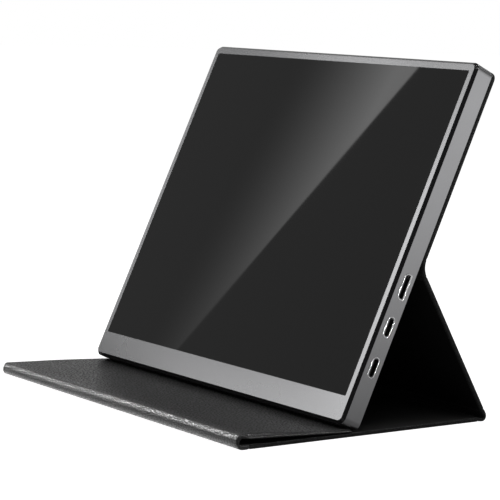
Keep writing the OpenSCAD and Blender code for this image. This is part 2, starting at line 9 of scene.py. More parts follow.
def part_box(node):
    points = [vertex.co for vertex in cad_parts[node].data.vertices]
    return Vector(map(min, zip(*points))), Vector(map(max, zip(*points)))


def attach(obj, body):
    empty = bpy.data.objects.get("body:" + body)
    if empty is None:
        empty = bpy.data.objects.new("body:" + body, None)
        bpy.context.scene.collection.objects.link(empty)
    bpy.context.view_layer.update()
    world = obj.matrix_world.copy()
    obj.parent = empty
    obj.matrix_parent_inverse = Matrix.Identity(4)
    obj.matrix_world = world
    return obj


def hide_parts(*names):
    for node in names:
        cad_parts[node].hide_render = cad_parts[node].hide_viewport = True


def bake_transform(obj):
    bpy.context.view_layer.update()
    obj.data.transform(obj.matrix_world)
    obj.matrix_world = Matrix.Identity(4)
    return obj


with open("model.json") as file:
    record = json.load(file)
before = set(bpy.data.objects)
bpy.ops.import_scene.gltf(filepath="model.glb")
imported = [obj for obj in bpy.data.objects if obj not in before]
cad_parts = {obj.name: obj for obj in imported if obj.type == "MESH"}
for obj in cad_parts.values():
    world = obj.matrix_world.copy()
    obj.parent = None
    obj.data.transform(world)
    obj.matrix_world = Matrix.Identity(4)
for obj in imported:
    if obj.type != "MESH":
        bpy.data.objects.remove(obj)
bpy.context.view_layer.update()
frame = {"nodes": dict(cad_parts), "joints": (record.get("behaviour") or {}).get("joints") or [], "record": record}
nodes = frame["nodes"]
scene = bpy.context.scene
mm = 0.001
print("frame loaded:", len(nodes), "nodes")


# Side view, as pairs (y, z): the three fold lines and the directions of the casing and of the leg.
jointOf = {joint["name"]: joint for joint in frame["joints"]}
heel, crease, nose = (
    np.array(jointOf[name]["pos_m"][1:]) for name in ("heel_fold", "crease_fold", "nose_fold")
)
backDir = np.array(jointOf["rocker_tilt"]["axis"][1:])
backDir /= np.linalg.norm(backDir)
upDir = np.array([-backDir[1], backDir[0]])
legDir = (crease - heel) / np.linalg.norm(crease - heel)
legOut = np.array([legDir[1], -legDir[0]])
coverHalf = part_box("base_panel_skin")[1].x  # half the cover's width


# Place and clip in metres, the turns in degrees, lens and sensor in millimetres.
cameraStand = dict(
    place=(0.748455, -0.554354, 0.177221), azimuth=53.139, elevation=6.708, roll=-2.144,
    lens=148.44, sensor=36, clip=0.05,
)


def placeCamera(stand):
    turn, lift, roll = (math.radians(stand[key]) for key in ("azimuth", "elevation", "roll"))
    back = Vector((math.sin(turn) * math.cos(lift), -math.cos(turn) * math.cos(lift), math.sin(lift)))
    level = (-back).cross(Vector((0, 0, 1))).normalized()
    drop = (-back).cross(level)
    right = level * math.cos(roll) + drop * math.sin(roll)
    down = drop * math.cos(roll) - level * math.sin(roll)
    data = bpy.data.cameras.new("camera")
    data.lens = stand["lens"]
    data.sensor_width = stand["sensor"]
    data.clip_start = stand["clip"]
    camera = bpy.data.objects.new("camera", data)
    scene.collection.objects.link(camera)
    axes = Matrix((right, -down, back)).transposed().to_4x4()
    camera.matrix_world = Matrix.Translation(Vector(stand["place"])) @ axes
    scene.camera = camera
    return camera


camera = placeCamera(cameraStand)
scene.view_settings.view_transform = "Standard"
print("camera placed")


# Node helpers. An input is either another node's output, which is linked, or a value, which is set.
def addNode(tree, kind, inputs=None, **settings):
    node = tree.nodes.new(kind)
    for key, value in settings.items():
        setattr(node, key, value)
    for key, value in (inputs or {}).items():
        socket = node.inputs[key]
        if isinstance(value, bpy.types.NodeSocket):
            tree.links.new(value, socket)
        else:
            socket.default_value = value
    return node


def mathNode(tree, operation, a, b=0.0, c=0.0, clamp=False):
    node = addNode(tree, "ShaderNodeMath", {0: a, 1: b, 2: c}, operation=operation, use_clamp=clamp)
    return node.outputs[0]


def product(tree, first, *others):
    for other in others:
        first = mathNode(tree, "MULTIPLY", first, other)
    return first


def mixColour(tree, factor, a, b):
    return addNode(tree, "ShaderNodeMix", {0: factor, 6: a, 7: b}, data_type="RGBA").outputs[2]


# As value goes from fromLow to fromHigh, the output goes from low to high, and stays there beyond.
def spread(tree, value, low, high, fromLow=0.0, fromHigh=1.0):
    node = addNode(
        tree, "ShaderNodeMapRange",
        {"Value": value, "From Min": fromLow, "From Max": fromHigh, "To Min": low, "To Max": high},
    )
    return node.outputs[0]


def noise(tree, vector, scale, detail):
    return addNode(tree, "ShaderNodeTexNoise", {"Vector": vector, "Scale": scale, "Detail": detail}).outputs


def vectorNode(tree, operation, inputs):
    return addNode(tree, "ShaderNodeVectorMath", inputs, operation=operation).outputs


def axesOf(tree, vector):
    return addNode(tree, "ShaderNodeSeparateXYZ", {0: vector}).outputs


def coordinates(tree, kind):
    return tree.nodes.new("ShaderNodeTexCoord").outputs[kind]


def emission(tree, strength):
    return addNode(tree, "ShaderNodeEmission", {"Strength": strength}).outputs[0]


def shaderGroup(name, sockets):
    group = bpy.data.node_groups.new(name, "ShaderNodeTree")
    for side, label, kind, value in sockets:
        socket = group.interface.new_socket(name=label, in_out=side, socket_type="NodeSocket" + kind)
        if value is not None:
            socket.default_value = value
    return group, group.nodes.new("NodeGroupInput").outputs, group.nodes.new("NodeGroupOutput").inputs


def newMaterial(name, **fixed):
    material = bpy.data.materials.new(name)
    material.use_nodes = True
    tree = material.node_tree
    shader = tree.nodes["Principled BSDF"]
    for key, value in fixed.items():
        shader.inputs[key.replace("_", " ")].default_value = value
    return material, tree, shader


def grey(value):
    return (value, value, value, 1.0)


# Leather grain: rounded pebbles between fine valleys. Size is the width of a pebble in metres. A scale is
# how much finer than the pebbles a pattern is, and the rest are shares of a pebble's width or height.
pebbleForm = dict(warpScale=0.9, warpShift=0.9, poreScale=3.1, poreHeight=0.35, cloudScale=0.03,
                  valleyWidth=0.2)


def makeLeatherGrain(form):
    group, given, made = shaderGroup("leatherGrain", [
        ("INPUT", "Vector", "Vector", None), ("INPUT", "Size", "Float", 0.0007),
        ("OUTPUT", "Height", "Float", None), ("OUTPUT", "Valley", "Float", None),
        ("OUTPUT", "Tone", "Float", None),
    ])
    vector, scale = given["Vector"], mathNode(group, "DIVIDE", 1.0, given["Size"])
    warp = noise(group, vector, product(group, scale, form["warpScale"]), detail=2.0)
    reach = product(group, given["Size"], form["warpShift"])
    shift = vectorNode(group, "SCALE", {0: warp["Color"], "Scale": reach})[0]
    place = vectorNode(group, "ADD", {0: vector, 1: shift})[0]
    cells = addNode(group, "ShaderNodeTexVoronoi", {"Vector": place, "Scale": scale},
                    feature="DISTANCE_TO_EDGE", voronoi_dimensions="2D")
    pores = noise(group, vector, product(group, scale, form["poreScale"]), detail=3.0)
    cloud = noise(group, vector, product(group, scale, form["cloudScale"]), detail=3.0)
    pebble = spread(group, cells.outputs["Distance"], 0.0, 1.0, 0.0, form["valleyWidth"])
    height = mathNode(group, "MULTIPLY_ADD", pores["Fac"], form["poreHeight"], pebble)
    group.links.new(height, made["Height"])
    group.links.new(mathNode(group, "SUBTRACT", 1.0, pebble, clamp=True), made["Valley"])
    group.links.new(cloud["Fac"], made["Tone"])
    return group


# Fine grain: even speckle of blasted metal or moulded plastic, and slow patches over it.
def makeFineGrain():
    group, given, made = shaderGroup("fineGrain", [
        ("INPUT", "Vector", "Vector", None), ("INPUT", "Size", "Float", 0.0002),
        ("INPUT", "Patch Size", "Float", 0.03), ("INPUT", "Stretch", "Vector", (1.0, 1.0, 1.0)),
        ("OUTPUT", "Height", "Float", None), ("OUTPUT", "Patch", "Float", None),
    ])
    vector = given["Vector"]
    drawn = vectorNode(group, "MULTIPLY", {0: vector, 1: given["Stretch"]})[0]
    speckle = noise(group, drawn, mathNode(group, "DIVIDE", 1.0, given["Size"]), detail=3.0)
    patch = noise(group, vector, mathNode(group, "DIVIDE", 1.0, given["Patch Size"]), detail=4.0)
    group.links.new(speckle["Fac"], made["Height"])
    group.links.new(patch["Fac"], made["Patch"])
    return group


leatherGrain = makeLeatherGrain(pebbleForm)
fineGrain = makeFineGrain()
noiseSpan = (0.3, 0.7)  # a noise texture seldom leaves this span


def useGroup(tree, group, vector, **values):
    node = addNode(tree, "ShaderNodeGroup", node_tree=group)
    tree.links.new(vector, node.inputs["Vector"])
    for key, value in values.items():
        node.inputs[key.replace("_", " ")].default_value = value
    return node.outputs


# Links a shader's colour, its roughness and, where height isn't 0, its bumps.
def setSurface(tree, shader, colour, rough, bumps=None, height=0.0):
    tree.links.new(colour, shader.inputs["Base Color"])
    tree.links.new(rough, shader.inputs["Roughness"])
    if height:
        bump = addNode(tree, "ShaderNodeBump", {"Height": bumps, "Distance": height, "Strength": 1.0})
        tree.links.new(bump.outputs[0], shader.inputs["Normal"])


# Colours are grey levels and lengths are in metres. The edge values are for the strip's right edge, and
# the inner ones for its inner side, which the texture's place across reaches past innerFrom.
leatherLook = dict(
    colour=0.028, valleyColour=0.012, tone=0.01, pebble=0.0018, height=8e-5, shine=0.38,
    rough=(0.26, 0.34), valleyRough=0.45, innerRough=0.5, innerFrom=(-0.0985, -0.097),
    edgeTone=0.3, edgeRough=0.15, edgeWidth=0.0004,
)


def makeLeather(look):
    material, tree, shader = newMaterial("coverLeather", IOR=1.5, Specular_IOR_Level=look["shine"])
    vector = coordinates(tree, "UV")
    grain = useGroup(tree, leatherGrain, vector, Size=look["pebble"])
    toned = mathNode(tree, "MULTIPLY_ADD", grain["Tone"], look["tone"], look["colour"] - look["tone"] / 2)
    colour = addNode(tree, "ShaderNodeCombineColor", {0: toned, 1: toned, 2: toned}).outputs[0]
    colour = mixColour(tree, grain["Valley"], colour, grey(look["valleyColour"]))
    place = axesOf(tree, vector)[0]
    edge = spread(tree, place, 0.0, 1.0, coverHalf, coverHalf + look["edgeWidth"])
    colour = mixColour(tree, edge, colour, grey(look["colour"] * look["edgeTone"]))
    rough = spread(tree, grain["Tone"], *look["rough"], *noiseSpan)
    rough = mathNode(tree, "MULTIPLY_ADD", grain["Valley"], look["valleyRough"], rough)
    rough = mathNode(tree, "MULTIPLY_ADD", edge, look["edgeRough"], rough)
    inside = spread(tree, place, look["innerRough"], 0.0, *look["innerFrom"])
    rough = mathNode(tree, "ADD", rough, inside, clamp=True)
    setSurface(tree, shader, colour, rough, grain["Height"], look["height"])
    return material


# The lining cloth's own colour. The base's lining is a lighter copy of the same cloth: painted light where light
# falls on the base.
liningLook = dict(colour=0.006, baseColour=0.016, vary=(0.6, 1.5), nap=0.00035, patch=0.02,
                  height=3e-5, rough=(0.75, 0.95), shine=0.3)


def makeLining(look, name, level):
    material, tree, shader = newMaterial(name, IOR=1.45, Specular_IOR_Level=look["shine"])
    vector = coordinates(tree, "UV")
    grain = useGroup(tree, fineGrain, vector, Size=look["nap"], Patch_Size=look["patch"])
    low, high = (grey(level * share) for share in look["vary"])
    setSurface(tree, shader, mixColour(tree, grain["Height"], low, high),
               spread(tree, grain["Patch"], *look["rough"]), grain["Height"], look["height"])
    return material


# One recipe for metals and plastics: a colour, its speckle, and patches of gloss.
def makePlain(name, colour, rough, metal=0.0, grainSize=0.0002, height=0.0, vary=0.12,
              stretch=(1, 1, 1), **fixed):
    material, tree, shader = newMaterial(name, Metallic=metal, **fixed)
    vector = coordinates(tree, "Object")
    grain = useGroup(tree, fineGrain, vector, Size=grainSize, Stretch=stretch)
    low, high = ((*(min(c * share, 1.0) for c in colour), 1.0) for share in (1 - vary, 1 + vary))
    setSurface(tree, shader, mixColour(tree, grain["Height"], low, high),
               spread(tree, grain["Patch"], *rough, *noiseSpan), grain["Height"], height)
    return material


# By the record's slot: colour, roughness at its two ends, metal, grain size and bump height in metres,
# and how far the speckle's colour varies.
plainLooks = {
    "bezel_metal": dict(colour=(0.6, 0.6, 0.61), rough=(0.24, 0.28), metal=1.0, grainSize=0.00016,
                        height=1.5e-6, vary=0.05),
    "trim_dark": dict(colour=(0.012, 0.012, 0.013), rough=(0.1, 0.16), vary=0.2, IOR=1.5),
    "frame_metal": dict(colour=(0.46, 0.46, 0.47), rough=(0.3, 0.35), metal=1.0, height=2e-6, vary=0.06),
    "housing_black": dict(colour=(0.014, 0.014, 0.015), rough=(0.42, 0.55), grainSize=0.0004,
                          height=2e-5, vary=0.2),
    "screw_steel": dict(colour=(0.32, 0.32, 0.33), rough=(0.25, 0.4), metal=1.0),
    "panel_glass": dict(colour=(0.02, 0.02, 0.025), rough=(0.08, 0.12)),
    "film_white": dict(colour=(0.78, 0.78, 0.8), rough=(0.3, 0.4), vary=0.03),
    "led_strip": dict(colour=(0.75, 0.68, 0.42), rough=(0.4, 0.5)),
    "tray_steel": dict(colour=(0.5, 0.51, 0.53), rough=(0.3, 0.45), metal=1.0, stretch=(0.1, 1, 1)),
    "circuit_board": dict(colour=(0.015, 0.14, 0.05), rough=(0.35, 0.5), grainSize=0.001),
    "chip_black": dict(colour=(0.018, 0.018, 0.019), rough=(0.45, 0.6)),
    "flex_film": dict(colour=(0.42, 0.2, 0.04), rough=(0.3, 0.4)),
    "socket_metal": dict(colour=(0.86, 0.86, 0.87), rough=(0.16, 0.24), metal=1.0, vary=0.04),
    "wire_jacket": dict(colour=(0.35, 0.03, 0.02), rough=(0.5, 0.6)),
    "control_grey": dict(colour=(0.25, 0.25, 0.26), rough=(0.25, 0.35), metal=1.0),
    "magnet_nickel": dict(colour=(0.66, 0.65, 0.63), rough=(0.2, 0.3), metal=1.0),
    "adhesive": dict(colour=(0.12, 0.12, 0.12), rough=(0.8, 0.9), grainSize=0.0006),
    "cover_board": dict(colour=(0.42, 0.33, 0.22), rough=(0.8, 0.9), grainSize=0.0012),
}
glassLook = dict(colour=0.006, vary=0.1, rough=(0.02, 0.035), grain=0.004, smear=0.05,
                 smearSpan=(0.35, 0.65), ior=1.5)


def makeScreenGlass(look):
    material, tree, shader = newMaterial("screenGlass", IOR=look["ior"])
    vector = coordinates(tree, "Object")
    grain = useGroup(tree, fineGrain, vector, Size=look["grain"], Patch_Size=look["smear"])
    low, high = (grey(look["colour"] * share) for share in (1 - look["vary"], 1 + look["vary"]))
    setSurface(tree, shader, mixColour(tree, grain["Patch"], low, high),
               spread(tree, grain["Patch"], *look["rough"], *look["smearSpan"]))
    return material


finishes = {slot: makePlain(slot, **look) for slot, look in plainLooks.items()}
finishes["screen_glass"] = makeScreenGlass(glassLook)
finishes["leather_skin"] = makeLeather(leatherLook)
finishes["cover_lining"] = makeLining(liningLook, "coverLining", liningLook["colour"])
# A lighter copy of the lining for the base: painted light.
paintedLightBaseLining = makeLining(liningLook, "baseLiningCloth", liningLook["baseColour"])
for part in frame["record"]["subparts"]:
    mesh = nodes[part["node"]].data
    mesh.materials.clear()
    mesh.materials.append(finishes[part["material_slot"]])
print("finishes ready:", len(finishes))


# A mesh from a grid of points (rows, columns, 3): a quad between each point, the next in its row and the
# two below them. Columns close round. The rows close round too where closed is true, and otherwise each
# end ring gets a cap. Where the faces enclose a negative volume, they are turned round.
def meshFromRings(name, points, uvs, slot, closed=False):
    rows, columns = points.shape[:2]
    row, column = np.meshgrid(np.arange(rows if closed else rows - 1), np.arange(columns), indexing="ij")
    after, below = (column + 1) % columns, (row + 1) % rows
    quads = np.stack([row * columns + column, row * columns + after,
                      below * columns + after, below * columns + column], -1).reshape(-1, 4)
    uvColumn = np.stack([column, column + 1, column + 1, column], -1).reshape(-1, 4)
    uvRow = np.stack([row, row, row + 1, row + 1], -1).reshape(-1, 4)
    flat = points.reshape(-1, 3)
    a, b, c = (flat[quads[:, k]] - flat.mean(0) for k in range(3))
    inward = np.einsum("ij,ij->i", a, np.cross(b, c)).sum() < 0
    if inward:
        quads, uvColumn, uvRow = quads[:, ::-1], uvColumn[:, ::-1], uvRow[:, ::-1]
    faces = quads.tolist()
    uvList = uvs[uvRow, uvColumn].reshape(-1, 2)
    ring = np.arange(columns)
    for line, order in () if closed else ((0, ring[::-1]), (rows - 1, ring)):
        order = order[::-1] if inward else order
        faces.append((order + line * columns).tolist())
        uvList = np.concatenate([uvList, uvs[line, order]])
    mesh = bpy.data.meshes.new(name)
    mesh.from_pydata(flat.tolist(), [], faces)
    smooth = np.ones(len(faces), bool)
    smooth[len(quads):] = False
    mesh.polygons.foreach_set("use_smooth", smooth)
    mesh.uv_layers.new(name="surface").data.foreach_set("uv", uvList.astype(np.float32).ravel())
    mesh.materials.append(finishes[slot])
    mesh.update()
    piece = bpy.data.objects.new(name, mesh)
    scene.collection.objects.link(piece)
    return piece


# A soft step from 0 to 1 as t goes from 0 to 1: three t squared less two t cubed.
def smoothStep(t):
    t = np.clip(t, 0.0, 1.0)
    return t * t * (3 - 2 * t)


# A bell of height 1 about t = 0: e to the power of minus the square of t over width.
def bell(t, width):
    return np.exp(-(t / width) ** 2)


# How far a quarter circle of this radius draws back at a distance from the edge.
def rounding(distance, radius):
    over = np.maximum(radius - distance, 0)
    return radius - np.sqrt(np.maximum(radius**2 - over**2, 0))


def directionOf(angle):
    return np.array([math.cos(angle), math.sin(angle)])


# The distance travelled along a line at each of its points.
def travelAlong(line):
    return np.concatenate([[0], np.cumsum(np.linalg.norm(np.diff(line, axis=0), axis=1))])


def lengthOf(line):
    return np.linalg.norm(np.diff(line, axis=0), axis=1).sum()


# The cover is one leather strip of four panels with three folds between them: the thickness of each, how
# far the padding stands out, the radius of the edges, the grooves where boards start, and where the
# recess for the lining begins.
cover = dict(
    panel=1.8 * mm, flap=1.4 * mm, back=1.5 * mm, fold=0.8 * mm, frontFold=1.1 * mm,
    padded=0.38 * mm, rim=0.55 * mm, foldRim=0.4 * mm, foldEndRim=0.3, groove=0.22 * mm,
    grooveWidth=0.5 * mm, recessFrom=0.9 * mm, recessSlope=0.2 * mm,
)
# The lining: its thickness, the hem round it, the gap to the hem, its soft rim, how far its face is sunk
# and how far its back stays clear.
lining = dict(thick=0.3 * mm, hem=1.0 * mm, gap=0.08 * mm, soft=0.12 * mm, sunk=0.02 * mm,
              clear=0.01 * mm)
# Beside the flap's board the two skins are pressed together, so it is thinner along its side edges.
pinch = dict(depth=0.5 * mm, width=2.4 * mm, slope=1.5 * mm)
# The lengths of the leather's slow waves, and the height and phase of the wave on each panel.
wave = dict(across=17 * mm, bend=23 * mm, along=14 * mm, drift=60 * mm, leg=(0.05 * mm, 0.4),
            back=(0.05 * mm, 1.9), flap=(0.06 * mm, 2.6), lining=(0.02 * mm, 0.7))
# How many points the strip has, and the most of its thickness that a rounded edge takes.
division = dict(corner=5, flat=42, along=58, cornerEnd=8, cornerTurn=1.5, station=0.02 * mm, arc=49,
                edgeShare=0.49)
hemSteps = np.array([0.1, 0.25, 0.55, 0.86, 0.96, 1.06, 1.2, 1.6, 2.6, 5.0]) * mm  # in from an edge
tailShares = np.array([0.0, 0.3, 0.7, 1.0])  # along a fold's straight tail
rimPlaces = coverHalf - hemSteps
acrossShares = np.concatenate([
    -rimPlaces, np.linspace(-rimPlaces[-1], rimPlaces[-1], division["flat"] + 2)[1:-1], rimPlaces[::-1],
]) / coverHalf


# The strip's cross-section at every station: up the right edge, along the outer side, down the left edge
# and back along the inner side, with quarter circles at its corners. Gives x, the height n over the line,
# and the texture's place across, which is x on the outer side and runs on round the edges.
def stripSection(left, right, inner, outer, rim):
    left, right, inner, outer = (v[:, None] for v in (left, right, inner, outer))
    radius = np.minimum(rim, (outer - inner) * division["edgeShare"])
    middle, half = (right - left) / 2, (right + left) / 2
    flatX = middle + acrossShares[None, :] * (half - radius)
    turn = np.linspace(0, math.pi / 2, division["corner"] + 2)[None, 1:-1]
    sin, cos = np.sin(turn), np.cos(turn)
    x = [right - radius + radius * sin, right - radius + radius * cos, flatX[:, ::-1],
         -left + radius - radius * sin, -left + radius - radius * cos, flatX]
    n = [inner + radius - radius * cos, outer - radius + radius * sin, outer + 0 * flatX,
         outer - radius + radius * cos, inner + radius - radius * sin, inner + 0 * flatX]
    x, n = np.concatenate(x, 1), np.concatenate(n, 1)
    step = np.hypot(np.diff(x, axis=1, append=x[:, :1]), np.diff(n, axis=1, append=n[:, :1]))
    place = -np.concatenate([np.zeros((len(x), 1)), np.cumsum(step, axis=1)], 1)
    firstFlat = 2 * turn.shape[1]
    place += x[:, firstFlat:firstFlat + 1] - place[:, firstFlat:firstFlat + 1]
    return x, n, place


# Carries the section along a line in side view. rise(s, x) moves the outer side along the normal, and
# sink(s, x) the inner side. The texture's place along the line starts at start and runs by sense.
def stripPiece(name, line, normal, inner, outer, rim, left, right, rise, sink, start=0.0, sense=1,
               slot="leather_skin"):
    x, n, place = stripSection(left, right, inner, outer, rim)
    travelled = travelAlong(line)
    s = np.broadcast_to(travelled[:, None], x.shape)
    share = np.clip((n - inner[:, None]) / (outer - inner)[:, None], 0, 1)
    n = n + rise(s, x) * share + sink(s, x) * (1 - share)
    points = np.concatenate([x[..., None], line[:, None, :] + n[..., None] * normal[:, None, :]], -1)
    along = np.broadcast_to((start + sense * travelled)[:, None], place.shape)
    return meshFromRings(name, points, np.stack([place, along], -1), slot)


# From here on: how far the leather moves along its normal, at s along the strip and x across it.
def unmoved(s, x):
    return 0 * s


def together(*parts):
    return lambda s, x: sum(part(s, x) for part in parts)


# Slow unevenness of leather over board: a sine across times a sine along, each swayed by the other way.
def leatherWave(height, phase):
    def swell(s, x):
        first = np.sin(x / wave["across"] + phase + np.sin(s / wave["bend"]))
        second = np.sin(s / wave["along"] + 2 * phase + x / wave["drift"])
        return height * first * second
    return swell


# A drop by depth beside the two side edges, on a smooth step as wide as the pinch's slope. share gives
# how much of it there is at each place along the strip.
def sideDrop(depth, share=lambda s: 1.0):
    def drop(s, x):
        return -depth * share(s) * smoothStep((np.abs(x) - coverHalf + pinch["width"]) / pinch["slope"])
    return drop


# The leg and the back are padded: their outer side stands out evenly.
def padded(s, x):
    return cover["padded"] + 0 * s


# The dip in the leather where a board starts, at each end of a panel: a bell, as strong as ends says.
def boardGroove(length, ends):
    def dip(s, x):
        return -cover["groove"] * (ends[0] * bell(s, cover["grooveWidth"])
                                   + ends[1] * bell(length - s, cover["grooveWidth"]))
    return dip


# The recess for the lining: none under the hem, one lining deep inside it, on a smooth step.
def liningRecess(length):
    def sink(s, x):
        gap = np.minimum(np.minimum(s, length - s), coverHalf - np.abs(x))
        return lining["thick"] * smoothStep((gap - cover["recessFrom"]) / cover["recessSlope"])
    return sink


# Stations along a panel: close together at its hems and round corners, even between them.
def panelStations(length, corner=0.0):
    first, grid = np.concatenate([[0.0], hemSteps]), division["station"]
    turn = np.linspace(0, division["cornerTurn"], division["cornerEnd"])
    last = length - np.concatenate([first, corner * (1 - np.sin(turn))])
    middle = np.linspace(first[-1], length - max(corner, first[-1]), division["along"] + 2)[1:-1]
    s = np.unique(np.round(np.concatenate([first, middle, last]) / grid)) * grid
    return np.append(s[s < length - grid], length)


# A flat panel in a plane given by its origin, its direction, its outward normal and its length. Its edges
# are quarter rounds, and a free end also has round corners.
def coverPanel(name, body, replaced, plane, thickness, start, sense=1, freeEnd=False, corner=0.0,
               rise=unmoved, sink=unmoved, drawLeft=lambda s: 0 * s, grooved=(1, 1)):
    origin, direction, outward, length = plane
    s = panelStations(length, corner)
    line = origin + s[:, None] * direction
    normal = np.broadcast_to(outward, line.shape)
    ends = rounding(length - s, cover["rim"])
    inner = -thickness + rounding(s, cover["rim"]) + ends
    outer = -ends if freeEnd else 0 * s
    width = coverHalf - rounding(length - s, corner) if corner else np.full(len(s), coverHalf)
    piece = stripPiece(name, line, normal, inner, outer, cover["rim"], width - drawLeft(s), width,
                       together(boardGroove(length, grooved), rise), sink, start, sense)
    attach(piece, body)
    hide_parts(*replaced)


# The lining of a panel: a thin sheet sunk between the hems, its rim a quarter round.
def coverLining(name, body, replaced, plane, thickness, corner=0.0, sink=unmoved, finish=None):
    origin, direction, outward, length = plane
    inset = lining["hem"] + lining["gap"]
    run = length - 2 * inset
    s = panelStations(run, max(corner - inset, 0))
    line = origin + (inset + s)[:, None] * direction
    normal = np.broadcast_to(outward, line.shape)
    inner = -thickness + lining["sunk"] + rounding(np.minimum(s, run - s), lining["soft"])
    outer = 0 * s - thickness + lining["thick"] - lining["clear"]
    width = coverHalf - inset - (rounding(run - s, corner - inset) if corner else 0 * s)

    def follow(along, x):
        return sink(along + inset, x)

    piece = stripPiece(name, line, normal, inner, outer, lining["soft"], width, width, follow,
                       together(follow, leatherWave(*wave["lining"])), slot="cover_lining")
    if finish:
        piece.data.materials[0] = finish
    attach(piece, body)
    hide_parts(*replaced)


# A fold's line and its normals: straight tail, arc, straight tail. Angles are in side view from +y, and
# the leather is on the outer side of the bend, or on its inner side where hollow is true.
def foldLine(centre, radius, angleFrom, angleTo, tail, hollow=False):
    angle = np.linspace(angleFrom, angleTo, division["arc"])
    spoke = np.stack([np.cos(angle), np.sin(angle)], -1)
    arc = centre + radius * spoke
    onward = (-1 if angleTo < angleFrom else 1) * np.stack([-spoke[:, 1], spoke[:, 0]], -1)
    before = arc[0] - (1 - tailShares[:-1])[:, None] * tail * onward[0]
    behind = arc[-1] + tailShares[1:][:, None] * tail * onward[-1]
    line = np.concatenate([before, arc, behind])
    normal = np.concatenate([np.repeat(spoke[:1], len(before), 0), spoke,
                             np.repeat(spoke[-1:], len(behind), 0)])
    return line, -normal if hollow else normal


# A fold is as thick as its panels at its two ends, and goes to its middle thickness on a smooth step.
def foldPiece(name, replaced, line, normal, endThickness, start, sense,
              rise=unmoved, sink=unmoved, drawLeft=lambda s: 0 * s, middle=cover["fold"],
              grooved=(1, 1), tail=0.0):
    length, s = lengthOf(line), travelAlong(line)
    near = smoothStep((0.5 * length - np.minimum(s, length - s)) / (0.5 * length - tail))
    thick = np.interp(s, [0, length], endThickness)
    inner = -(middle + near * (thick - cover["foldEndRim"] * cover["rim"] - middle))
    width = np.full(len(s), coverHalf)
    piece = stripPiece(name, line, normal, inner, 0 * s, cover["foldRim"], width - drawLeft(s), width,
                       together(boardGroove(length, grooved), rise), sink, start, sense)
    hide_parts(replaced)
    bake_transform(piece)


# Each fold: the radius of its arc, the straight tail at each end, and how far inside its ends it starts
# to bend. The crease lies at height and depth from the foot of the casing's front.
heelShape = dict(round=2.3 * mm, tail=2.0 * mm, blend=0.2 * mm, roll=0.3 * mm, rollWidth=1.6 * mm)
creaseShape = dict(round=8.0 * mm, tail=0.0005 * mm, blend=0.1 * mm, height=72.94 * mm, depth=11.15 * mm)
# The front fold isn't even: it rises and rolls up higher at the right, and is drawn in at the left.
# rollAt, endFrom and endOver are shares of its length.
frontFold = dict(
    round=2.87 * mm, tail=3.0 * mm, blend=(0.01 * mm, 0.2 * mm),
    liftLeft=-0.5 * mm, liftMiddle=0.0, liftRight=0.4 * mm, liftPower=2.5, liftFrom=2.5 * mm,
    ripple=0.12 * mm, rippleTurn=5.5, ripplePhase=1, rollLeft=0.15 * mm, rollRight=0.8 * mm,
    rollAt=0.67, rollWidth=1.9 * mm, drawnIn=3.5 * mm, flapIn=0.8 * mm, reach=34 * mm,
    edgeDrop=0.45 * mm, endFrom=0.72, endOver=0.28, fuller=0.3 * mm, fullerReach=15 * mm,
)
flapShape = dict(length=54 * mm, tip=3.2 * mm, corner=1.2 * mm, gap=0.15 * mm, thinner=0.2 * mm,
                 thinFrom=8 * mm, thinOver=6 * mm)
backShape = dict(high=164.9 * mm, corner=3.8 * mm, casing=10.0 * mm, glue=0.3 * mm)

# Where each panel starts and how long it is, worked out from the fold lines. Each fold's arc touches the
# outer lines of its two panels.
floorDown, forward = np.array([0.0, -1.0]), np.array([1.0, 0.0])
halfPanel = cover["panel"] / 2
legTilt = math.atan2(-legDir[0], legDir[1])
casingTilt = math.atan2(-backDir[1], backDir[0])
foot = crease - creaseShape["height"] * upDir - creaseShape["depth"] * backDir

heelTangent = (heelShape["round"] - halfPanel) / math.tan((math.pi / 2 - legTilt) / 2)
heelEnd = heelTangent + heelShape["tail"]
baseFront = np.array([nose[0] + frontFold["tail"], 0.0])
baseLength = heel[0] - heelEnd - baseFront[0]
basePlane = (baseFront, forward, floorDown, baseLength)

lowGap = frontFold["round"] * 2 - cover["panel"] - flapShape["gap"] - cover["flap"]
flapDroop = math.asin(lowGap / flapShape["length"])
flapDir, flapOut = directionOf(-flapDroop), directionOf(math.pi / 2 - flapDroop)
flapStart = nose + frontFold["tail"] * flapDir + frontFold["round"] * flapOut
flapRun = flapShape["length"] + flapShape["tip"] - frontFold["tail"]
flapPlane = (flapStart, flapDir, flapOut, flapRun)

creaseBack = backShape["casing"] + backShape["glue"] + cover["back"] - creaseShape["depth"]
legRadius, backRadius = creaseShape["round"] + halfPanel, creaseShape["round"] + creaseBack
creaseTurn = casingTilt + legTilt
creaseUp = (legRadius - backRadius * math.cos(creaseTurn)) / math.sin(creaseTurn)
creaseDown = (backRadius - legRadius * math.cos(creaseTurn)) / math.sin(creaseTurn)
legStart = heel + heelEnd * legDir + halfPanel * legOut
legRun = np.linalg.norm(crease - heel) - heelEnd - creaseDown
legPlane = (legStart, legDir, legOut, legRun)
backStart = crease + creaseUp * upDir + creaseBack * backDir
backRun = backShape["high"] - creaseShape["height"] - creaseUp
backPlane = (backStart, upDir, backDir, backRun)

noseLine, noseNormal = foldLine(nose, frontFold["round"], -math.pi / 2,
                                -math.pi / 2 - (math.pi + flapDroop), frontFold["tail"])
heelCentre = np.array([heel[0] - heelTangent, heelShape["round"]])
heelLine, heelNormal = foldLine(heelCentre, heelShape["round"], -math.pi / 2, legTilt,
                                heelShape["tail"])
creaseCentre = backStart + creaseShape["round"] * backDir
creaseLine, creaseNormal = foldLine(creaseCentre, creaseShape["round"], math.pi + legTilt,
                                    math.pi - casingTilt, creaseShape["tail"], hollow=True)
noseLength, heelLength = lengthOf(noseLine), lengthOf(heelLine)
legStartsAt = baseLength + heelLength
creaseStartsAt = legStartsAt + legRun
backStartsAt = creaseStartsAt + lengthOf(creaseLine)


